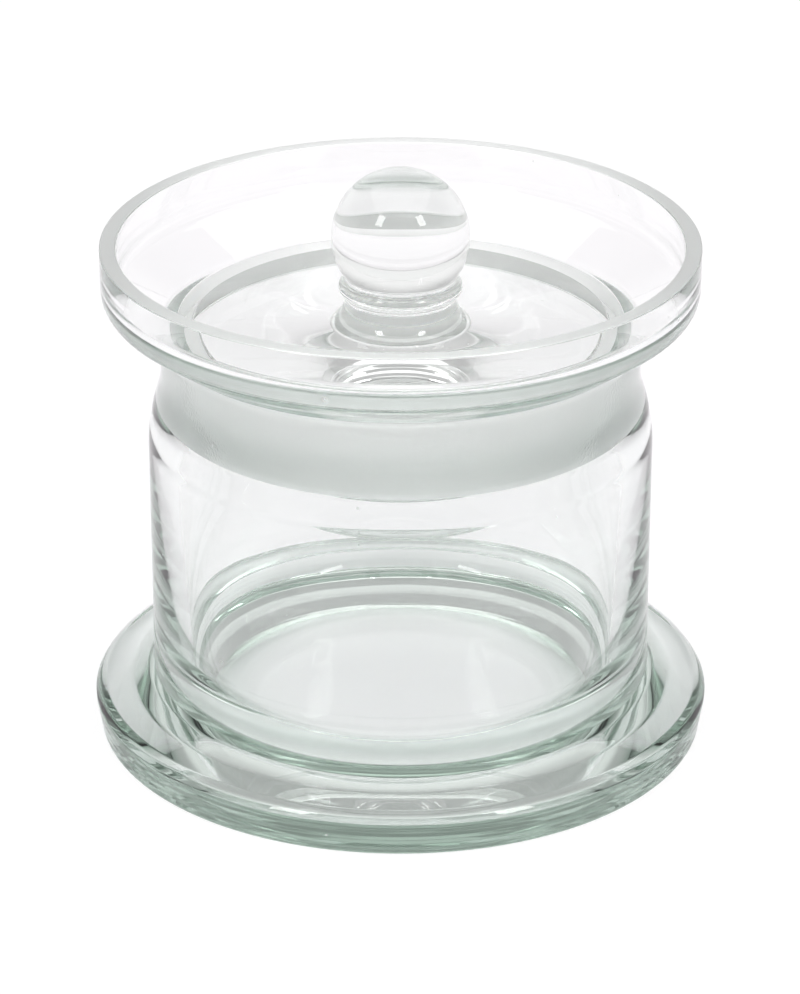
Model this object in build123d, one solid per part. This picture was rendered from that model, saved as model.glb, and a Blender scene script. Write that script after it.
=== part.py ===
"""Footed glass specimen jar with a wide sealing collar and a ground-in knobbed lid.

Units are millimetres and +Z is up. The origin is on the surface the jar stands on, at the centre
of its foot, and every piece is a body of revolution about the Z axis.

Four pieces of glass make two rigid bodies. The jar's body stands in the seat of its pressed foot
and is fused to it, and the solid ball knob is fused to the pressed lid. The lid's ground side
sits in the jar's ground neck.
"""
from build123d import *
import math
import os

# Foot: a pressed disc with an undercut side and a seat for the jar's body
FOOT_OUT = 10.3  # how far the mould seam, the widest ring, stands out beyond the body
FOOT_SEAM_Z = 5.8  # height of the mould seam
FOOT_SEAM_R = 1.0
FOOT_BASE_INSET = 1.0  # how far the lower edge stands in from the seam
FOOT_BASE_R = 0.8  # rounding of the lower edge
FOOT_LIP_RISE = 1.2  # from the seam up to the upper edge
FOOT_LIP_INSET = 0.6  # how far the upper edge stands in from the seam
FOOT_LIP_R = 1.5
FOOT_TOP_LIFT = 0.7  # from the upper edge up to where the top starts
FOOT_TOP_INSET = 1.9
FOOT_TOP_RISE = 0.7  # the top rises by this much before it turns up against the jar
SEAT_Z = 3.0  # bottom of the seat that the jar's body stands in
SEAT_COLLAR_H = 2.4  # the glass drawn up round the jar ends this far above the foot's top
SEAT_COLLAR_OUT = 3.9  # how far it spreads over the foot
SEAT_COLLAR_HIP = 1.0  # width of its steep upper part
SEAT_COLLAR_STEP = 0.9  # height of its steep upper part
SEAT_COLLAR_R = 2.5

# Body: a straight cylinder with a floor that turns up into the wall in a wide curve
BODY_D = 85.2
BODY_H = 51.0  # straight outer wall, from the seat to the shoulder
BODY_WALL = 5.0
FLOOR_T = 2.2  # glass between the seat and the inside floor
CORNER_R = 14.0  # inner corner between floor and wall
SHOULDER_H = 9.5  # from the shoulder to where the outside has drawn in to the neck
SHOULDER_R = 14.0
SHOULDER_STEP = 0.9  # how far the shoulder has come in at its half height
SHOULDER_STEP_R = 7.0
BORE_SHOULDER_DROP = 1.5  # the straight inner wall ends this far below the outer shoulder
BORE_SHOULDER_R = 6.0

# Neck: ground inside to seat the lid
SHOULDER_IN = 5.2  # from the body's outside in to the mouth of the ground socket
SOCKET_L = 16.3
SOCKET_EDGE_R = 0.4
NECK_WALL = 2.9
NECK_H = 10.1  # from the drawn-in shoulder to the socket's upper edge
NECK_R = 9.0  # hollow curve between shoulder and neck
JOINT_SLOPE = 0.03  # the ground joint narrows by this much of its depth on each side

# Collar: a wide dish that ends in an upright rim with a ground top
COLLAR_OUT = 7.4  # how far the collar stands out beyond the body
COLLAR_H = 13.6  # from the socket's upper edge to the rim
COLLAR_WALL = 2.75
RIM_EDGE_R = 0.3
DISH_DROP = 2.0  # the dish's underside leaves the neck this far below the socket's upper edge
DISH_RISE = 6.8  # it rises by this much on its way to the collar's outer wall
DISH_T = 1.9  # height of the dish's inside above its underside, at the collar's wall
DISH_ROOT_R = 2.5
COLLAR_TURN_R = 3.6  # turn from the dish to the upright rim

# Lid: a solid pressed plug
LID_CLEAR = 0.08  # radial gap of the ground joint
LID_SINK = 0.6  # how far the lid's flat top lies below the socket's upper edge
LID_H = 15.0
LID_BEVEL = 2.4  # ground bevel round the flat top
LID_BEVEL_R = 0.8
LID_EDGE_R = 0.5

# Knob: a solid ball on a beaded stem
BALL_D = 23.2
BALL_Z = 15.05  # ball's centre above the lid's flat top
GROOVE_D = 18.8  # waist between the ball and the bead
GROOVE_H = 0.6
BEAD_D = 20.7
BEAD_H = 2.7
STEM_D = 19.0
STEM_FLARE = 2.6  # how far the stem's root spreads over the lid
FLARE_KNEE = 0.3  # the spread has grown by this share at the same share of the root's height

# Travel of the lid: it lifts straight out until it is clear of the collar
LIFT_CLEAR = 6.0

body_r = BODY_D / 2
bore_r = body_r - BODY_WALL
foot_r = body_r + FOOT_OUT
collar_r = body_r + COLLAR_OUT
socket_r = body_r - SHOULDER_IN
neck_r = socket_r + NECK_WALL
floor_z = SEAT_Z + FLOOR_T
shoulder_z = SEAT_Z + BODY_H
neck_z = shoulder_z + SHOULDER_H
socket_z = neck_z + NECK_H
rim_z = socket_z + COLLAR_H
lid_top_z = socket_z - LID_SINK
lid_low_z = lid_top_z - LID_H
ball_z = lid_top_z + BALL_Z
lift_travel = rim_z + LIFT_CLEAR - lid_low_z


def joint_radius(z):
    """Return the radius of the jar's ground socket at the height z."""
    return socket_r - JOINT_SLOPE * (socket_z - z)


def outline(corners):
    """Return the closed wire through corners (radius, height, rounding), each rounded by an arc.

    A rounding is limited by the shorter of the two runs that meet at its corner.
    """
    count = len(corners)
    stops = []
    for index, (r, z, rounding) in enumerate(corners):
        here = Vector(r, 0, z)
        back = Vector(corners[index - 1][0], 0, corners[index - 1][1]) - here
        ahead_corner = corners[(index + 1) % count]
        ahead = Vector(ahead_corner[0], 0, ahead_corner[1]) - here
        half_turn = math.radians(back.get_angle(ahead)) / 2
        if rounding == 0:
            stops.append((here, None, here))
            continue
        cut = min(rounding / math.tan(half_turn), 0.48 * back.length, 0.48 * ahead.length)
        radius = cut * math.tan(half_turn)
        inwards = (back.normalized() + ahead.normalized()).normalized()
        middle = here + inwards * (radius / math.sin(half_turn) - radius)
        stops.append((here + back.normalized() * cut, middle, here + ahead.normalized() * cut))
    edges = []
    for index, (start, middle, end) in enumerate(stops):
        if middle is not None:
            edges.append(ThreePointArc(start, middle, end))
        next_start = stops[(index + 1) % count][0]
        if (next_start - end).length > 1e-6:
            edges.append(Line(end, next_start))
    return Wire([edge.edge() for edge in edges])


def turned(wire):
    """Return the solid that a closed outline sweeps when it turns once about the Z axis."""
    return revolve(Face(wire), axis=Axis.Z, revolution_arc=360)


def make_foot():
    """Pressed disc with a seat, and its glass drawn up a little round the jar's body."""
    lip_z = FOOT_SEAM_Z + FOOT_LIP_RISE
    top_z = lip_z + FOOT_TOP_LIFT
    collar_low_z = top_z + FOOT_TOP_RISE
    collar_top_z = collar_low_z + SEAT_COLLAR_H
    corners = [
        (0, 0, 0),
        (foot_r - FOOT_BASE_INSET, 0, FOOT_BASE_R),
        (foot_r, FOOT_SEAM_Z, FOOT_SEAM_R),
        (foot_r - FOOT_LIP_INSET, lip_z, FOOT_LIP_R),
        (foot_r - FOOT_TOP_INSET, top_z, FOOT_LIP_R),
        (body_r + SEAT_COLLAR_OUT, collar_low_z, SEAT_COLLAR_R),
        (body_r + SEAT_COLLAR_HIP, collar_top_z - SEAT_COLLAR_STEP, SEAT_COLLAR_R),
        (body_r, collar_top_z, 0),
        (body_r, SEAT_Z, 0),
        (0, SEAT_Z, 0),
    ]
    return turned(outline(corners))


def make_jar_body():
    """Thick-walled body, ground neck and wide collar, open at the top."""
    socket_low_z = socket_z - SOCKET_L
    dish_low_z = socket_z - DISH_DROP
    dish_high_z = dish_low_z + DISH_RISE
    rim_in_r = collar_r - COLLAR_WALL
    corners = [
        (0, SEAT_Z, 0),
        (body_r, SEAT_Z, 0),
        (body_r, shoulder_z, SHOULDER_R),
        (body_r - SHOULDER_STEP, (shoulder_z + neck_z) / 2, SHOULDER_STEP_R),
        (neck_r, neck_z, NECK_R),
        (neck_r, dish_low_z, DISH_ROOT_R),
        (collar_r, dish_high_z, COLLAR_TURN_R),
        (collar_r, rim_z, RIM_EDGE_R),
        (rim_in_r, rim_z, RIM_EDGE_R),
        (rim_in_r, dish_high_z + DISH_T, COLLAR_TURN_R),
        (socket_r, socket_z, SOCKET_EDGE_R),
        (joint_radius(socket_low_z), socket_low_z, SOCKET_EDGE_R),
        (bore_r, shoulder_z - BORE_SHOULDER_DROP, BORE_SHOULDER_R),
        (bore_r, floor_z, CORNER_R),
        (0, floor_z, 0),
    ]
    return turned(outline(corners))


def make_lid():
    """Solid pressed plug: flat top, ground bevel, ground cone and flat underside."""
    bevel_z = lid_top_z - LID_BEVEL
    bevel_r = joint_radius(bevel_z) - LID_CLEAR
    low_r = joint_radius(lid_low_z) - LID_CLEAR
    corners = [
        (0, lid_low_z, 0),
        (low_r, lid_low_z, LID_EDGE_R),
        (bevel_r, bevel_z, LID_BEVEL_R),
        (bevel_r - LID_BEVEL, lid_top_z, LID_EDGE_R),
        (0, lid_top_z, 0),
    ]
    return turned(outline(corners))


def make_knob():
    """Solid ball on a grooved, beaded stem whose root spreads over the lid."""
    ball_r = BALL_D / 2
    groove_r = GROOVE_D / 2
    stem_r = STEM_D / 2
    groove_top_z = ball_z - math.sqrt(ball_r**2 - groove_r**2)
    bead_top_z = groove_top_z - GROOVE_H
    bead_low_z = bead_top_z - BEAD_H
    root = (stem_r + STEM_FLARE, 0, lid_top_z)
    knee = (stem_r + FLARE_KNEE * STEM_FLARE, 0, lid_top_z + FLARE_KNEE * (bead_low_z - lid_top_z))
    stem_top = (stem_r, 0, bead_low_z)
    bead_widest = (BEAD_D / 2, 0, (bead_low_z + bead_top_z) / 2)
    bead_top = (groove_r, 0, bead_top_z)
    ball_low = (groove_r, 0, groove_top_z)
    ball_top = (0, 0, ball_z + ball_r)
    edges = [
        Line((0, 0, lid_top_z), root),
        ThreePointArc(root, knee, stem_top),
        ThreePointArc(stem_top, bead_widest, bead_top),
        Line(bead_top, ball_low),
        ThreePointArc(ball_low, (ball_r, 0, ball_z), ball_top),
        Line(ball_top, (0, 0, lid_top_z)),
    ]
    return turned(Wire([edge.edge() for edge in edges]))


os.makedirs("parts", exist_ok=True)
pieces = {
    "foot": make_foot(),
    "jar_body": make_jar_body(),
    "lid": make_lid(),
    "knob": make_knob(),
}
for name, piece in pieces.items():
    export_step(piece, f"parts/{name}.step")
print(f"lid lifts {lift_travel:.1f} mm")
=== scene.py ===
"""Footed glass specimen jar with a wide sealing collar and a ground-in knobbed lid.

Every piece of the object is glass. The body is fused to its foot and the knob to its lid, so each
pair is one unbroken skin of glass here, turned about the Z axis by a Geometry Nodes tree.
"""

import logging
import math
from dataclasses import dataclass, field
from enum import Enum
from typing import Any, Optional, Sequence

import bmesh
import bpy
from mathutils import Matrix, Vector

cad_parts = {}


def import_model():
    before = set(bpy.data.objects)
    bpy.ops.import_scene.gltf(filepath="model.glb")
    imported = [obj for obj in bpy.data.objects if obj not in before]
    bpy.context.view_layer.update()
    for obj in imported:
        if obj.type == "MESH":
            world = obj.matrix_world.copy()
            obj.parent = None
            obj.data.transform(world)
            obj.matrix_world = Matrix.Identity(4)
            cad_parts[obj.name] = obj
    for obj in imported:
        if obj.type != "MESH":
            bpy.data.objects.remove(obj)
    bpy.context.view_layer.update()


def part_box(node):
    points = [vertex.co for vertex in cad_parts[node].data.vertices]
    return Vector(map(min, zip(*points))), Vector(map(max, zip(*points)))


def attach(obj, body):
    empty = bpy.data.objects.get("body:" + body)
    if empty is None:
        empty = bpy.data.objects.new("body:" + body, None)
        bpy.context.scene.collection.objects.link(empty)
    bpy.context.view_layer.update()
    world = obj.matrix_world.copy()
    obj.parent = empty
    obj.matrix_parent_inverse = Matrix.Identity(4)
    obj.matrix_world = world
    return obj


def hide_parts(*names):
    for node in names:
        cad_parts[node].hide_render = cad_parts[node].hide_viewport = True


MM = 0.001
RUN_SHARE = 0.48  # one arc takes at most this share of a straight run, so two arcs never meet
SAME_PLACE = 1e-3  # points nearer to each other than this, in mm, are one point
LOG = logging.getLogger("specimen_jar")


# ---------------------------------------------------------------- small helpers


def linear(hex_colour: str) -> tuple[float, float, float, float]:
    """Turn an sRGB colour into the linear values that shaders take.

    Args:
        hex_colour: Six hex digits, such as "f4f6f5".

    Returns:
        Red, green, blue and an alpha of 1.
    """
    channels = [int(hex_colour[start:start + 2], 16) / 255 for start in (0, 2, 4)]
    values = [c / 12.92 if c <= 0.04045 else ((c + 0.055) / 1.055) ** 2.4 for c in channels]
    return (values[0], values[1], values[2], 1.0)


def add_node(
    tree: bpy.types.NodeTree,
    kind: str,
    settings: Optional[dict[str, Any]] = None,
    inputs: Optional[dict[Any, Any]] = None,
) -> bpy.types.Node:
    """Add a node to a tree, set its properties and fill or link its inputs.

    Args:
        tree: The shader, world or geometry tree.
        kind: The node's type name.
        settings: Properties of the node itself.
        inputs: For each input's name or number, a plain value or the socket to link from.

    Returns:
        The new node.
    """
    node = tree.nodes.new(kind)
    for name, value in (settings or {}).items():
        setattr(node, name, value)
    for key, value in (inputs or {}).items():
        if isinstance(value, bpy.types.NodeSocket):
            tree.links.new(value, node.inputs[key])
        else:
            node.inputs[key].default_value = value
    return node


# ---------------------------------------------------------------- outlines


@dataclass(frozen=True)
class Corner:
    """A corner of a turned outline, in millimetres.

    Attributes:
        r: Radius.
        z: Height.
        rounding: Radius of the arc that replaces the corner, or 0 for a sharp one.
        sway: How far the hand-finished glass wanders from a true circle here.
    """

    r: float
    z: float
    rounding: float = 0.0
    sway: float = 0.0


@dataclass(frozen=True)
class Station:
    """A point of the finished outline, in millimetres."""

    r: float
    z: float
    sway: float = 0.0


def arc_between(start: Vector, middle: Vector, end: Vector, steps: int) -> list[Vector]:
    """Sample the arc through three points of the (radius, height) plane.

    Args:
        start: First point.
        middle: Any point on the arc between the ends.
        end: Last point.
        steps: Number of equal steps.

    Returns:
        The points from start to end, both included.
    """
    ax, ay, bx, by, cx, cy = *start, *middle, *end
    twice_area = 2 * (ax * (by - cy) + bx * (cy - ay) + cx * (ay - by))
    a2, b2, c2 = ax * ax + ay * ay, bx * bx + by * by, cx * cx + cy * cy
    centre = Vector((
        (a2 * (by - cy) + b2 * (cy - ay) + c2 * (ay - by)) / twice_area,
        (a2 * (cx - bx) + b2 * (ax - cx) + c2 * (bx - ax)) / twice_area,
    ))
    radius = (start - centre).length
    first = math.atan2(ay - centre.y, ax - centre.x)
    sweep = (math.atan2(cy - centre.y, cx - centre.x) - first) % math.tau
    if (math.atan2(by - centre.y, bx - centre.x) - first) % math.tau > sweep:
        sweep -= math.tau
    turns = [first + sweep * step / steps for step in range(steps + 1)]
    return [centre + radius * Vector((math.cos(turn), math.sin(turn))) for turn in turns]


def rounded(corners: Sequence[Corner], degrees_per_step: float = 9.0) -> list[Station]:
    """Replace each corner of an open outline with its arc.

    Args:
        corners: The outline from its first point on the axis to its last.
        degrees_per_step: How finely an arc is divided.

    Returns:
        The stations of the outline, in order.
    """
    stations: list[Station] = []
    for index, corner in enumerate(corners):
        here = Vector((corner.r, corner.z))
        if corner.rounding == 0 or index in (0, len(corners) - 1):
            stations.append(Station(corner.r, corner.z, corner.sway))
            continue
        back = Vector((corners[index - 1].r, corners[index - 1].z)) - here
        ahead = Vector((corners[index + 1].r, corners[index + 1].z)) - here
        half_turn = back.angle(ahead) / 2
        longest = RUN_SHARE * min(back.length, ahead.length)
        cut = min(corner.rounding / math.tan(half_turn), longest)
        radius = cut * math.tan(half_turn)
        inwards = (back.normalized() + ahead.normalized()).normalized()
        middle = here + inwards * (radius / math.sin(half_turn) - radius)
        steps = max(2, round(math.degrees(math.pi - 2 * half_turn) / degrees_per_step))
        start, end = here + back.normalized() * cut, here + ahead.normalized() * cut
        for point in arc_between(start, middle, end, steps):
            stations.append(Station(point.x, point.y, corner.sway))
    return stations


# ---------------------------------------------------------------- finishes


@dataclass(frozen=True)
class GroundBand:
    """A zone that was ground matt: all of the surface inside these radii and heights, in mm."""

    r_low: float
    r_high: float
    z_low: float
    z_high: float


@dataclass(frozen=True)
class SodaLimeGlass:
    """Soda-lime glass, fire-polished where it was left alone and matt where it was ground.

    It gives the eye clear walls with bright edges, a faint green only where one looks through a
    long way of glass, and milky bands that hide what is behind them.

    Attributes:
        name: Name of the material.
        bands: Where the surface is ground.
        tint: Colour that the glass lets through.
        density: How strongly it takes light away, per metre.
        ior: Index of refraction of soda-lime glass.
        polish: Roughness of the fire-polished skin.
        ground: Roughness of the ground zones.
        frost: Share of the light that the ground skin throws straight back, as a mirror of the same
            roughness would: one rough skin alone lets too much through.
        grit: Size of the marks of the grinding, drawn coarse enough to show, in mm.
        ripple: Length of the slow waves left by the mould, in mm.
        ripple_depth: Height of those waves, in mm.
        grit_depth: Height of the grinding marks, in mm.
        speck_gap: Rough distance between one place where a speck can be and the next, in mm.
        speck_r: Radius of a speck, in mm.
        speck_core: Share of that radius in which a speck is fully dull.
        band_edge: Half the width of the soft step at the edge of a ground zone, in mm.
    """

    name: str
    bands: tuple[GroundBand, ...]
    tint: str = "7fae95"
    density: float = 12.0
    ior: float = 1.52
    polish: float = 0.0
    ground: float = 0.62
    frost: float = 0.56
    grit: float = 0.35
    ripple: float = 14.0
    ripple_depth: float = 0.02
    grit_depth: float = 0.02
    speck_gap: float = 11.0
    speck_r: float = 0.32
    speck_core: float = 0.6
    band_edge: float = 0.12

    def make(self) -> bpy.types.Material:
        """Build the material.

        Returns:
            The new material.
        """
        material = bpy.data.materials.new(self.name)
        material.use_nodes = True
        tree = material.node_tree
        shader = tree.nodes["Principled BSDF"]
        shader.inputs["Base Color"].default_value = (1.0, 1.0, 1.0, 1.0)
        shader.inputs["IOR"].default_value = self.ior
        shader.inputs["Transmission Weight"].default_value = 1.0
        place = add_node(tree, "ShaderNodeTexCoord").outputs["Object"]
        mask = self._ground_mask(tree, place)
        dull = add_node(tree, "ShaderNodeMath", {"operation": "MAXIMUM"}, {
            0: mask, 1: self._specks(tree, place),
        }).outputs["Value"]
        rough = add_node(tree, "ShaderNodeMapRange", {}, {
            "Value": dull, "To Min": self.polish, "To Max": self.ground,
        })
        tree.links.new(rough.outputs["Result"], shader.inputs["Roughness"])
        frost = add_node(tree, "ShaderNodeMath", {"operation": "MULTIPLY"}, {
            0: dull, 1: self.frost,
        })
        tree.links.new(frost.outputs["Value"], shader.inputs["Metallic"])
        waves = add_node(tree, "ShaderNodeTexNoise", {}, {
            "Vector": place, "Scale": 1 / (self.ripple * MM), "Detail": 1.0,
        })
        ripples = add_node(tree, "ShaderNodeBump", {}, {
            "Strength": 1.0, "Distance": self.ripple_depth * MM, "Height": waves.outputs["Fac"],
        })
        grains = add_node(tree, "ShaderNodeTexNoise", {}, {
            "Vector": place, "Scale": 1 / (self.grit * MM), "Detail": 2.0,
        })
        grit = add_node(tree, "ShaderNodeBump", {}, {
            "Strength": mask, "Distance": self.grit_depth * MM, "Height": grains.outputs["Fac"],
            "Normal": ripples.outputs["Normal"],
        })
        tree.links.new(grit.outputs["Normal"], shader.inputs["Normal"])
        body = add_node(tree, "ShaderNodeVolumeAbsorption")
        body.inputs["Color"].default_value = linear(self.tint)
        body.inputs["Density"].default_value = self.density
        tree.links.new(body.outputs["Volume"], tree.nodes["Material Output"].inputs["Volume"])
        return material

    def _specks(
        self, tree: bpy.types.NodeTree, place: bpy.types.NodeSocket
    ) -> bpy.types.NodeSocket:
        """Mark the few small nicks and specks that use has left on the polished skin.

        Args:
            tree: The material's tree.
            place: Object coordinates.

        Returns:
            A value that is 1 in the specks and 0 elsewhere.
        """
        cells = add_node(tree, "ShaderNodeTexVoronoi", {}, {
            "Vector": place, "Scale": 1 / (self.speck_gap * MM),
        })
        share = self.speck_r / self.speck_gap
        spots = add_node(tree, "ShaderNodeMapRange", {"interpolation_type": "SMOOTHSTEP"}, {
            "Value": cells.outputs["Distance"],
            "From Min": share, "From Max": self.speck_core * share,
        })
        return spots.outputs["Result"]

    def _ground_mask(
        self, tree: bpy.types.NodeTree, place: bpy.types.NodeSocket
    ) -> bpy.types.NodeSocket:
        """Mark the ground zones by their radius and height.

        Args:
            tree: The material's tree.
            place: Object coordinates.

        Returns:
            A value that is 1 in the ground zones and 0 elsewhere.
        """
        parts = add_node(tree, "ShaderNodeSeparateXYZ", {}, {0: place}).outputs
        flat = add_node(tree, "ShaderNodeCombineXYZ", {}, {"X": parts["X"], "Y": parts["Y"]})
        radius = add_node(tree, "ShaderNodeVectorMath", {"operation": "LENGTH"}, {
            0: flat.outputs["Vector"],
        }).outputs["Value"]
        total: Optional[bpy.types.NodeSocket] = None
        for band in self.bands:
            zone = self._between(tree, radius, band.r_low * MM, band.r_high * MM)
            height = self._between(tree, parts["Z"], band.z_low * MM, band.z_high * MM)
            both = add_node(tree, "ShaderNodeMath", {"operation": "MULTIPLY"}, {
                0: zone, 1: height,
            }).outputs["Value"]
            if total is not None:
                both = add_node(tree, "ShaderNodeMath", {"operation": "MAXIMUM"}, {
                    0: total, 1: both,
                }).outputs["Value"]
            total = both
        return total

    def _between(
        self, tree: bpy.types.NodeTree, value: bpy.types.NodeSocket, low: float, high: float
    ) -> bpy.types.NodeSocket:
        """Give 1 where a value lies between two limits, with a short soft step at each.

        Args:
            tree: The material's tree.
            value: The value to test.
            low: Lower limit, in metres.
            high: Upper limit, in metres.

        Returns:
            The result's socket.
        """
        middle, reach, soft = (low + high) / 2, (high - low) / 2, self.band_edge * MM
        off = add_node(tree, "ShaderNodeMath", {"operation": "SUBTRACT"}, {0: value, 1: middle})
        far = add_node(tree, "ShaderNodeMath", {"operation": "ABSOLUTE"}, {
            0: off.outputs["Value"],
        })
        step = add_node(tree, "ShaderNodeMapRange", {"interpolation_type": "SMOOTHSTEP"}, {
            "Value": far.outputs["Value"], "From Min": reach + soft, "From Max": reach - soft,
        })
        return step.outputs["Result"]


@dataclass(frozen=True)
class PaperFloor:
    """White background paper, matt and evenly lit.

    Its own glow lifts the shadows that are seen directly, and leaves the light that the paper sends
    into the glass as it is.

    Attributes:
        name: Name of the material.
        colour: Colour of the paper.
        roughness: Roughness of the paper.
        glow: Share of the paper's own glow where it is seen directly.
        glow_strength: Brightness of that glow.
    """

    name: str = "white background paper"
    colour: str = "f8f5f8"
    roughness: float = 0.7
    glow: float = 0.8
    glow_strength: float = 1.04

    def make(self) -> bpy.types.Material:
        """Build the material.

        Returns:
            The new material.
        """
        material = bpy.data.materials.new(self.name)
        material.use_nodes = True
        tree = material.node_tree
        shader = tree.nodes["Principled BSDF"]
        shader.inputs["Base Color"].default_value = linear(self.colour)
        shader.inputs["Roughness"].default_value = self.roughness
        lit = add_node(tree, "ShaderNodeEmission", {}, {"Strength": self.glow_strength})
        direct = add_node(tree, "ShaderNodeLightPath").outputs["Is Camera Ray"]
        share = add_node(tree, "ShaderNodeMath", {"operation": "MULTIPLY"}, {
            0: direct, 1: self.glow,
        })
        mix = add_node(tree, "ShaderNodeMixShader", {}, {
            "Fac": share.outputs["Value"], 1: shader.outputs["BSDF"], 2: lit.outputs["Emission"],
        })
        tree.links.new(mix.outputs["Shader"], tree.nodes["Material Output"].inputs["Surface"])
        return material


# ---------------------------------------------------------------- turning


@dataclass
class Lathe:
    """Turns an outline into a closed skin with a Geometry Nodes tree.

    Attributes:
        segments: Number of steps round the axis.
        sway_turns: How many slow waves go round the piece.
        seed: Which of the possible wanderings is used.
        sway_climb: How fast the wandering changes with height, per metre.
        sway_detail: How much finer wandering lies on the slow waves.
        sway_drop: How far a place sinks for each unit that it draws in.
        weld: Points nearer than this become one, which closes the seam and the poles, in mm.
    """

    segments: int = 512
    sway_turns: float = 2.3
    seed: float = 4.0
    sway_climb: float = 60.0
    sway_detail: float = 1.5
    sway_drop: float = 0.6
    weld: float = 0.004

    def turn(
        self, name: str, stations: Sequence[Station], material: bpy.types.Material
    ) -> bpy.types.Object:
        """Turn an outline once about the Z axis.

        Args:
            name: Name of the finished piece.
            stations: The outline, which starts and ends on the axis.
            material: The finish of the whole skin.

        Returns:
            A plain mesh object at the origin.
        """
        outline = bpy.data.meshes.new(name + "_outline")
        places = [(s.r * MM, 0.0, s.z * MM) for s in stations]
        outline.from_pydata(places, [(i, i + 1) for i in range(len(places) - 1)], [])
        sway = outline.attributes.new("sway", "FLOAT", "POINT")
        sway.data.foreach_set("value", [s.sway * MM for s in stations])
        blank = bpy.data.objects.new(name + "_blank", outline)
        bpy.context.scene.collection.objects.link(blank)
        modifier = blank.modifiers.new("turn", "NODES")
        tree = self._tree()
        modifier.node_group = tree
        values = {
            "Segments": self.segments, "Sway turns": self.sway_turns, "Seed": self.seed,
            "Material": material,
        }
        for socket in tree.interface.items_tree:
            if socket.in_out == "INPUT" and socket.name in values:
                modifier[socket.identifier] = values[socket.name]
        graph = bpy.context.evaluated_depsgraph_get()
        skin = bpy.data.meshes.new_from_object(blank.evaluated_get(graph))
        bpy.data.objects.remove(blank)
        skin.name = name
        self._face_outwards(skin)
        piece = bpy.data.objects.new(name, skin)
        bpy.context.scene.collection.objects.link(piece)
        return piece

    @staticmethod
    def _face_outwards(skin: bpy.types.Mesh) -> None:
        """Turn every face of a closed skin outwards and shade it smooth.

        Args:
            skin: The mesh, changed in place.
        """
        work = bmesh.new()
        work.from_mesh(skin)
        bmesh.ops.recalc_face_normals(work, faces=work.faces)
        for face in work.faces:
            face.smooth = True
        work.to_mesh(skin)
        work.free()

    def _tree(self) -> bpy.types.NodeTree:
        """Build the tree that wraps a grid round the axis, one row for each station.

        Returns:
            The Geometry Nodes tree.
        """
        tree = bpy.data.node_groups.new("turned glass", "GeometryNodeTree")
        face = tree.interface
        face.new_socket("Outline", in_out="INPUT", socket_type="NodeSocketGeometry")
        face.new_socket("Segments", in_out="INPUT", socket_type="NodeSocketInt")
        face.new_socket("Sway turns", in_out="INPUT", socket_type="NodeSocketFloat")
        face.new_socket("Seed", in_out="INPUT", socket_type="NodeSocketFloat")
        face.new_socket("Material", in_out="INPUT", socket_type="NodeSocketMaterial")
        face.new_socket("Skin", in_out="OUTPUT", socket_type="NodeSocketGeometry")
        given = add_node(tree, "NodeGroupInput").outputs

        rows = add_node(tree, "GeometryNodeAttributeDomainSize", {}, {
            "Geometry": given["Outline"],
        }).outputs["Point Count"]
        rows_less_one = add_node(tree, "ShaderNodeMath", {"operation": "SUBTRACT"}, {
            0: rows, 1: 1.0,
        }).outputs["Value"]
        columns = add_node(tree, "ShaderNodeMath", {"operation": "ADD"}, {
            0: given["Segments"], 1: 1.0,
        }).outputs["Value"]
        grid = add_node(tree, "GeometryNodeMeshGrid", {}, {
            "Size X": given["Segments"], "Size Y": rows_less_one,
            "Vertices X": columns, "Vertices Y": rows,
        })
        spot = add_node(tree, "GeometryNodeInputPosition").outputs["Position"]
        spot_parts = add_node(tree, "ShaderNodeSeparateXYZ", {}, {0: spot}).outputs
        # the grid lies round its own middle, so half its size turns a place into a count
        half_round = add_node(tree, "ShaderNodeMath", {"operation": "DIVIDE"}, {
            0: given["Segments"], 1: 2.0,
        }).outputs["Value"]
        half_rows = add_node(tree, "ShaderNodeMath", {"operation": "DIVIDE"}, {
            0: rows_less_one, 1: 2.0,
        }).outputs["Value"]
        column = add_node(tree, "ShaderNodeMath", {"operation": "ADD"}, {
            0: spot_parts["X"], 1: half_round,
        }).outputs["Value"]
        row_place = add_node(tree, "ShaderNodeMath", {"operation": "ADD"}, {
            0: spot_parts["Y"], 1: half_rows,
        }).outputs["Value"]
        row = add_node(tree, "ShaderNodeMath", {"operation": "ROUND"}, {
            0: row_place,
        }).outputs["Value"]
        share_round = add_node(tree, "ShaderNodeMath", {"operation": "DIVIDE"}, {
            0: column, 1: given["Segments"],
        }).outputs["Value"]
        angle = add_node(tree, "ShaderNodeMath", {"operation": "MULTIPLY"}, {
            0: share_round, 1: math.tau,
        }).outputs["Value"]
        cosine = add_node(tree, "ShaderNodeMath", {"operation": "COSINE"}, {
            0: angle,
        }).outputs["Value"]
        sine = add_node(tree, "ShaderNodeMath", {"operation": "SINE"}, {
            0: angle,
        }).outputs["Value"]
        station = add_node(tree, "GeometryNodeSampleIndex", {"data_type": "FLOAT_VECTOR"}, {
            "Geometry": given["Outline"], "Value": spot, "Index": row,
        }).outputs["Value"]
        station_parts = add_node(tree, "ShaderNodeSeparateXYZ", {}, {0: station}).outputs
        sway_name = add_node(tree, "GeometryNodeInputNamedAttribute", {"data_type": "FLOAT"}, {
            "Name": "sway",
        }).outputs["Attribute"]
        sway = add_node(tree, "GeometryNodeSampleIndex", {"data_type": "FLOAT"}, {
            "Geometry": given["Outline"], "Value": sway_name, "Index": row,
        }).outputs["Value"]
        climb = add_node(tree, "ShaderNodeMath", {"operation": "MULTIPLY"}, {
            0: station_parts["Z"], 1: self.sway_climb,
        }).outputs["Value"]
        ring = add_node(tree, "ShaderNodeCombineXYZ", {}, {
            "X": cosine, "Y": sine, "Z": climb,
        }).outputs["Vector"]
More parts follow.
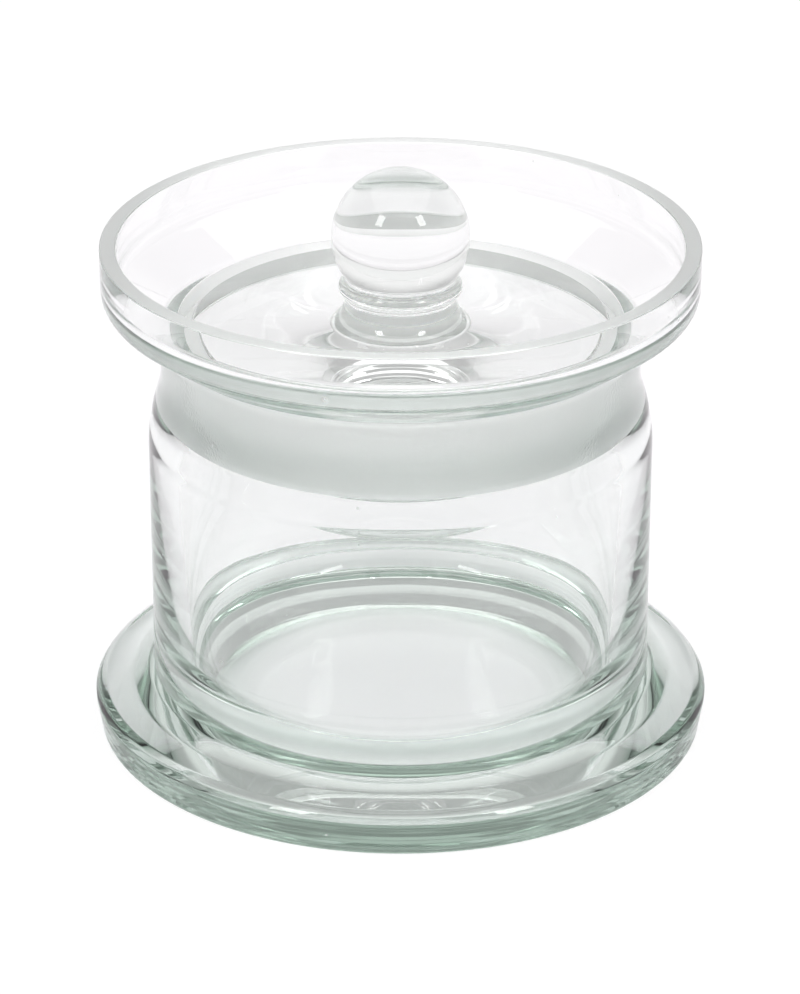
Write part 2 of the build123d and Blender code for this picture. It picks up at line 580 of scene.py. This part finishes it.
        wander = add_node(tree, "ShaderNodeTexNoise", {"noise_dimensions": "4D"}, {
            "Vector": ring, "W": given["Seed"], "Scale": given["Sway turns"],
            "Detail": self.sway_detail,
        }).outputs["Fac"]
        inset = add_node(tree, "ShaderNodeMath", {"operation": "MULTIPLY"}, {
            0: sway, 1: wander,
        }).outputs["Value"]
        radius = add_node(tree, "ShaderNodeMath", {"operation": "SUBTRACT"}, {
            0: station_parts["X"], 1: inset,
        }).outputs["Value"]
        drop = add_node(tree, "ShaderNodeMath", {"operation": "MULTIPLY"}, {
            0: inset, 1: self.sway_drop,
        }).outputs["Value"]
        height = add_node(tree, "ShaderNodeMath", {"operation": "SUBTRACT"}, {
            0: station_parts["Z"], 1: drop,
        }).outputs["Value"]
        across = add_node(tree, "ShaderNodeMath", {"operation": "MULTIPLY"}, {
            0: radius, 1: cosine,
        }).outputs["Value"]
        along = add_node(tree, "ShaderNodeMath", {"operation": "MULTIPLY"}, {
            0: radius, 1: sine,
        }).outputs["Value"]
        place = add_node(tree, "ShaderNodeCombineXYZ", {}, {
            "X": across, "Y": along, "Z": height,
        }).outputs["Vector"]
        wrapped = add_node(tree, "GeometryNodeSetPosition", {}, {
            "Geometry": grid.outputs["Mesh"], "Position": place,
        })
        closed = add_node(tree, "GeometryNodeMergeByDistance", {}, {
            "Geometry": wrapped.outputs["Geometry"], "Distance": self.weld * MM,
        })
        plain = add_node(tree, "GeometryNodeRealizeInstances", {}, {
            "Geometry": closed.outputs["Geometry"],
        })
        dressed = add_node(tree, "GeometryNodeSetMaterial", {}, {
            "Geometry": plain.outputs["Geometry"], "Material": given["Material"],
        })
        add_node(tree, "NodeGroupOutput", {}, {"Skin": dressed.outputs["Geometry"]})
        return tree


# ---------------------------------------------------------------- the object


def in_mm(corner: Vector) -> tuple[float, float]:
    """Give the radius and height of a box's corner in millimetres."""
    return corner.x / MM, corner.z / MM


@dataclass
class FusedJar:
    """The jar's body, neck and collar with the foot that it is fused to.

    Sizes are in millimetres. The overall ones come from the frame.
    """

    foot_base_inset: float = 1.0
    foot_base_round: float = 0.8
    foot_seam_z: float = 5.8
    foot_seam_round: float = 1.0
    foot_seam_sway: float = 0.15
    foot_lip_z: float = 7.0
    foot_lip_inset: float = 0.6
    foot_lip_round: float = 1.5
    foot_top_z: float = 7.7
    foot_top_inset: float = 1.9
    foot_top_round: float = 1.2
    foot_top_rise: float = 0.7
    lip_sway: float = 0.35
    ridges: int = 4
    ridge_depth: float = 0.09
    ridge_round: float = 0.5

    # glass drawn up from the foot round the body
    seat_collar_z: float = 10.8
    seat_collar_out: float = 3.9
    seat_collar_hip: float = 1.0
    seat_collar_step: float = 0.9
    seat_collar_round: float = 2.5
    seat_collar_sway: float = 0.1
    seat_collar_edge: float = 0.2

    body_r: float = 42.6
    bore_r: float = 37.6
    floor_z: float = 5.2
    corner_round: float = 14.0
    shoulder_z: float = 54.0
    shoulder_round: float = 14.0
    shoulder_step: float = 0.9
    shoulder_step_round: float = 7.0
    bore_shoulder_drop: float = 1.5
    bore_shoulder_round: float = 6.0

    neck_z: float = 63.5
    neck_r: float = 40.3
    neck_round: float = 9.0
    socket_r: float = 37.4
    socket_z: float = 73.6
    socket_low_z: float = 57.3
    socket_edge: float = 0.4
    joint_slope: float = 0.03

    collar_wall: float = 2.75
    collar_turn: float = 3.6
    rim_edge: float = 0.3
    dish_low_z: float = 71.6
    dish_high_z: float = 78.4
    dish_root: float = 2.5
    dish_t: float = 1.9

    # ground zones: both reach into empty space where only their inner limits count
    neck_ground_low_r: float = 30.0
    neck_ground_over: float = 0.6
    neck_ground_short: float = 0.2
    rim_ground_low_r: float = 45.0
    rim_ground_high_r: float = 55.0
    rim_ground_depth: float = 0.12
    rim_ground_over: float = 5.0

    lathe: Lathe = field(default_factory=Lathe)

    def outline(self) -> list[Station]:
        """Draw the skin from the middle of the underside, round the rim, to the inside floor.

        Returns:
            The stations of the outline.
        """
        foot_r, _ = in_mm(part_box("foot")[1])
        collar_r, rim_z = in_mm(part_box("jar_body")[1])
        rim_in_r = collar_r - self.collar_wall
        socket_low_r = self.socket_r - self.joint_slope * (self.socket_z - self.socket_low_z)
        return rounded([
            Corner(0, 0),
            Corner(foot_r - self.foot_base_inset, 0, self.foot_base_round),
            *self._ridges(foot_r),
            Corner(foot_r, self.foot_seam_z, self.foot_seam_round, self.foot_seam_sway),
            Corner(foot_r - self.foot_lip_inset, self.foot_lip_z,
                   self.foot_lip_round, self.lip_sway),
            Corner(foot_r - self.foot_top_inset, self.foot_top_z,
                   self.foot_top_round, self.lip_sway),
            Corner(self.body_r + self.seat_collar_out, self.foot_top_z + self.foot_top_rise,
                   self.seat_collar_round, self.seat_collar_sway),
            Corner(self.body_r + self.seat_collar_hip, self.seat_collar_z - self.seat_collar_step,
                   self.seat_collar_round),
            Corner(self.body_r, self.seat_collar_z, self.seat_collar_edge),
            Corner(self.body_r, self.shoulder_z, self.shoulder_round),
            Corner(self.body_r - self.shoulder_step, (self.shoulder_z + self.neck_z) / 2,
                   self.shoulder_step_round),
            Corner(self.neck_r, self.neck_z, self.neck_round),
            Corner(self.neck_r, self.dish_low_z, self.dish_root),
            Corner(collar_r, self.dish_high_z, self.collar_turn),
            Corner(collar_r, rim_z, self.rim_edge),
            Corner(rim_in_r, rim_z, self.rim_edge),
            Corner(rim_in_r, self.dish_high_z + self.dish_t, self.collar_turn),
            Corner(self.socket_r, self.socket_z, self.socket_edge),
            Corner(socket_low_r, self.socket_low_z, self.socket_edge),
            Corner(self.bore_r, self.shoulder_z - self.bore_shoulder_drop,
                   self.bore_shoulder_round),
            Corner(self.bore_r, self.floor_z, self.corner_round),
            Corner(0, self.floor_z),
        ])

    def _ridges(self, foot_r: float) -> list[Corner]:
        """Draw the fine level ridges that the mould left on the side of the foot.

        Args:
            foot_r: Radius of the foot at its widest.

        Returns:
            The corners between the lower edge and the mould seam.
        """
        ridges = []
        for step in range(1, 2 * self.ridges):
            share = step / (2 * self.ridges)
            out = self.ridge_depth if step % 2 else 0.0
            radius = foot_r - self.foot_base_inset * (1 - share) + out
            ridges.append(Corner(
                radius, self.foot_seam_z * share, self.ridge_round, self.foot_seam_sway,
            ))
        return ridges

    def make(self) -> bpy.types.Object:
        """Build the fused jar and stand it for its two CAD nodes.

        Returns:
            The finished piece.
        """
        _, rim_z = in_mm(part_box("jar_body")[1])
        finish = SodaLimeGlass(
            name="soda-lime glass, ground neck and rim",
            bands=(
                GroundBand(
                    r_low=self.neck_ground_low_r, r_high=self.socket_r + self.neck_ground_over,
                    z_low=self.socket_low_z, z_high=self.socket_z - self.neck_ground_short,
                ),
                GroundBand(
                    r_low=self.rim_ground_low_r, r_high=self.rim_ground_high_r,
                    z_low=rim_z - self.rim_ground_depth, z_high=rim_z + self.rim_ground_over,
                ),
            ),
        )
        piece = self.lathe.turn("fused_jar", self.outline(), finish.make())
        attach(piece, "jar")
        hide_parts("jar_body", "foot")
        return piece


@dataclass
class FusedLid:
    """The pressed lid with the ball knob that is fused to it.

    Sizes are in millimetres. The overall ones come from the frame.
    """

    bevel: float = 2.4
    bevel_round: float = 0.8
    top_edge: float = 0.35
    low_edge: float = 0.5
    joint_slope: float = 0.03
    ball_r: float = 11.6
    ball_steps: int = 40
    groove_r: float = 9.4
    groove_h: float = 0.6
    bead_r: float = 10.35
    bead_h: float = 2.7
    bead_steps: int = 12
    stem_r: float = 9.5
    stem_flare: float = 2.6
    flare_knee: float = 0.3
    flare_steps: int = 10

    # ground zone: it starts inside the bevel and reaches out past the plug
    ground_inset: float = 0.2
    ground_high_r: float = 60.0
    ground_low_gap: float = 0.3
    ground_top_gap: float = 0.15

    lathe: Lathe = field(default_factory=Lathe)

    def outline(self) -> list[Station]:
        """Draw the skin from the top of the ball, over the lid, to the middle of its underside.

        Returns:
            The stations of the outline.
        """
        lid_low, lid_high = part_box("lid")
        bevel_r, top_z = in_mm(lid_high)
        _, low_z = in_mm(lid_low)
        _, ball_top_z = in_mm(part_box("knob")[1])
        low_r = bevel_r - self.joint_slope * (top_z - self.bevel - low_z)
        body = rounded([
            Corner(self.stem_r + self.stem_flare, top_z),
            Corner(bevel_r - self.bevel, top_z, self.top_edge),
            Corner(bevel_r, top_z - self.bevel, self.bevel_round),
            Corner(low_r, low_z, self.low_edge),
            Corner(0, low_z),
        ])
        return self._knob(top_z, ball_top_z) + body[1:]

    def _knob(self, top_z: float, ball_top_z: float) -> list[Station]:
        """Draw the ball, the groove, the bead and the spreading root of the stem.

        Args:
            top_z: Height of the lid's flat top.
            ball_top_z: Height of the top of the ball.

        Returns:
            The stations from the top of the ball to the root.
        """
        ball_z = ball_top_z - self.ball_r
        groove_top_z = ball_z - math.sqrt(self.ball_r**2 - self.groove_r**2)
        bead_top_z = groove_top_z - self.groove_h
        bead_low_z = bead_top_z - self.bead_h
        ball_top = Vector((0, ball_top_z))
        ball_side = Vector((self.ball_r, ball_z))
        ball_low = Vector((self.groove_r, groove_top_z))
        bead_top = Vector((self.groove_r, bead_top_z))
        bead_side = Vector((self.bead_r, (bead_top_z + bead_low_z) / 2))
        stem_top = Vector((self.stem_r, bead_low_z))
        knee = Vector((
            self.stem_r + self.flare_knee * self.stem_flare,
            top_z + self.flare_knee * (bead_low_z - top_z),
        ))
        root = Vector((self.stem_r + self.stem_flare, top_z))
        arcs = (
            (ball_top, ball_side, ball_low, self.ball_steps),
            (bead_top, bead_side, stem_top, self.bead_steps),
            (stem_top, knee, root, self.flare_steps),
        )
        stations: list[Station] = []
        for start, middle, end, steps in arcs:
            for point in arc_between(start, middle, end, steps):
                if stations:
                    last = stations[-1]
                    if abs(point.y - last.z) + abs(point.x - last.r) <= SAME_PLACE:
                        continue
                stations.append(Station(max(point.x, 0.0), point.y))
        return stations

    def make(self) -> bpy.types.Object:
        """Build the fused lid and stand it for its two CAD nodes.

        Returns:
            The finished piece.
        """
        lid_low, lid_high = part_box("lid")
        bevel_r, top_z = in_mm(lid_high)
        _, low_z = in_mm(lid_low)
        finish = SodaLimeGlass(
            name="soda-lime glass, ground plug",
            tint="c4cfc4",
            density=3.0,
            bands=(
                GroundBand(
                    r_low=bevel_r - self.bevel + self.ground_inset, r_high=self.ground_high_r,
                    z_low=low_z + self.ground_low_gap, z_high=top_z - self.ground_top_gap,
                ),
            ),
        )
        piece = self.lathe.turn("fused_lid", self.outline(), finish.make())
        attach(piece, "lid")
        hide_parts("lid", "knob")
        return piece


# ---------------------------------------------------------------- studio


class Lamp(Enum):
    """The studio's soft lamps."""

    LEFT = "left"
    RIGHT = "right"
    OVERHEAD = "overhead"


@dataclass(frozen=True)
class Softbox:
    """A soft rectangular lamp.

    Attributes:
        bearing: Degrees to the right of the camera's own bearing.
        rise: Degrees above the floor.
        away: Distance from the jar, in metres.
        width: Width of its front, in metres.
        height: Height of its front, in metres.
        power: Power, in watts.
        aim_z: Height of the point that it is turned towards, in metres.
    """

    bearing: float
    rise: float
    away: float
    width: float
    height: float
    power: float
    aim_z: float = 0.05

    def place(self, lamp: Lamp) -> None:
        """Put the lamp in the scene, turned towards the jar.

        Args:
            lamp: Which of the studio's lamps this is.
        """
        bearing, rise = math.radians(self.bearing), math.radians(self.rise)
        light = bpy.data.lights.new(f"softbox_{lamp.value}", "AREA")
        light.shape = "RECTANGLE"
        light.size, light.size_y = self.width, self.height
        light.energy = self.power
        stand = bpy.data.objects.new(light.name, light)
        stand.location = self.away * Vector((
            math.cos(rise) * math.sin(bearing), -math.cos(rise) * math.cos(bearing), math.sin(rise),
        ))
        aim = Vector((0, 0, self.aim_z)) - stand.location
        stand.rotation_euler = aim.to_track_quat("-Z", "Y").to_euler()
        bpy.context.scene.collection.objects.link(stand)


@dataclass
class Studio:
    """White paper, two soft lamps in front, a wide one overhead and a pale room round them.

    Distances are in metres, angles in degrees, and all of them are taken from the jar.
    """

    paper_size: float = 6.0
    paper_gap: float = 0.0001  # between the paper and the foot that stands on it
    walls: float = 0.95
    ceiling: float = 0.5
    wall_top: float = 0.32  # height of the walls' edge on a sphere of radius 1
    wall_soft: float = 0.15  # the light changes this far below and above that edge
    bounces: int = 24
    glossy_bounces: int = 12
    lamps: dict[Lamp, Softbox] = field(default_factory=lambda: {
        Lamp.LEFT: Softbox(bearing=-45, rise=42, away=2.5, width=0.5, height=0.75, power=11),
        Lamp.RIGHT: Softbox(bearing=45, rise=42, away=2.5, width=0.5, height=0.75, power=11),
        Lamp.OVERHEAD: Softbox(bearing=0, rise=90, away=1.5, width=2.2, height=2.2, power=15),
    })
    view_away: float = 0.733
    view_rise: float = 24.91
    view_middle_z: float = 0.04035
    lens: float = 155.7
    shift: float = -0.0006
    near: float = 0.01

    def build(self) -> None:
        """Lay the paper, set the room's light, and place the lamps and the camera."""
        self._paper()
        self._room()
        for lamp, softbox in self.lamps.items():
            softbox.place(lamp)
        self._camera()
        scene = bpy.context.scene
        scene.view_settings.view_transform = "Standard"
        scene.cycles.max_bounces = self.bounces
        scene.cycles.transmission_bounces = self.bounces
        scene.cycles.glossy_bounces = self.glossy_bounces
        scene.cycles.blur_glossy = 0.0  # any more takes away light that comes through the glass
        scene.cycles.use_denoising = True

    def _paper(self) -> None:
        """Lay the sheet of paper just under the foot."""
        sheet = bpy.data.meshes.new("paper")
        half, z = self.paper_size / 2, -self.paper_gap
        ends = [(-half, -half, z), (half, -half, z), (half, half, z), (-half, half, z)]
        sheet.from_pydata(ends, [], [(0, 1, 2, 3)])
        sheet.materials.append(PaperFloor().make())
        paper = bpy.data.objects.new("paper", sheet)
        bpy.context.scene.collection.objects.link(paper)

    def _room(self) -> None:
        """Light the room: pale walls up to a soft edge, and a dimmer ceiling above them."""
        world = bpy.data.worlds.new("room")
        world.use_nodes = True
        tree = world.node_tree
        way = add_node(tree, "ShaderNodeTexCoord").outputs["Generated"]
        height = add_node(tree, "ShaderNodeSeparateXYZ", {}, {0: way}).outputs["Z"]
        shade = add_node(tree, "ShaderNodeMapRange", {"interpolation_type": "SMOOTHSTEP"}, {
            "Value": height, "From Min": self.wall_top - self.wall_soft,
            "From Max": self.wall_top + self.wall_soft,
            "To Min": self.walls, "To Max": self.ceiling,
        })
        tree.links.new(shade.outputs["Result"], tree.nodes["Background"].inputs["Strength"])
        tree.nodes["Background"].inputs["Color"].default_value = (1.0, 1.0, 1.0, 1.0)
        bpy.context.scene.world = world

    def _camera(self) -> None:
        """Place the camera and look through it."""
        lens = bpy.data.cameras.new("camera")
        lens.lens = self.lens
        lens.shift_x = self.shift
        lens.clip_start = self.near
        camera = bpy.data.objects.new("camera", lens)
        rise = math.radians(self.view_rise)
        camera.location = (
            0, -self.view_away * math.cos(rise),
            self.view_middle_z + self.view_away * math.sin(rise),
        )
        camera.rotation_euler = (math.pi / 2 - rise, 0, 0)
        bpy.context.scene.collection.objects.link(camera)
        bpy.context.scene.camera = camera


def corners(bounds: Any) -> list[list[float]]:
    """Turn a box into plain lists of numbers."""
    return [[float(value) for value in corner] for corner in bounds]


def main() -> None:
    """Load the frame, build the object in order and set up the studio."""
    logging.basicConfig(level=logging.INFO, format="%(message)s")
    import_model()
    for part in (FusedJar(), FusedLid()):
        piece = part.make()
        LOG.info("%s: %d faces", piece.name, len(piece.data.polygons))
    Studio().build()


if __name__ == "__main__":
    main()
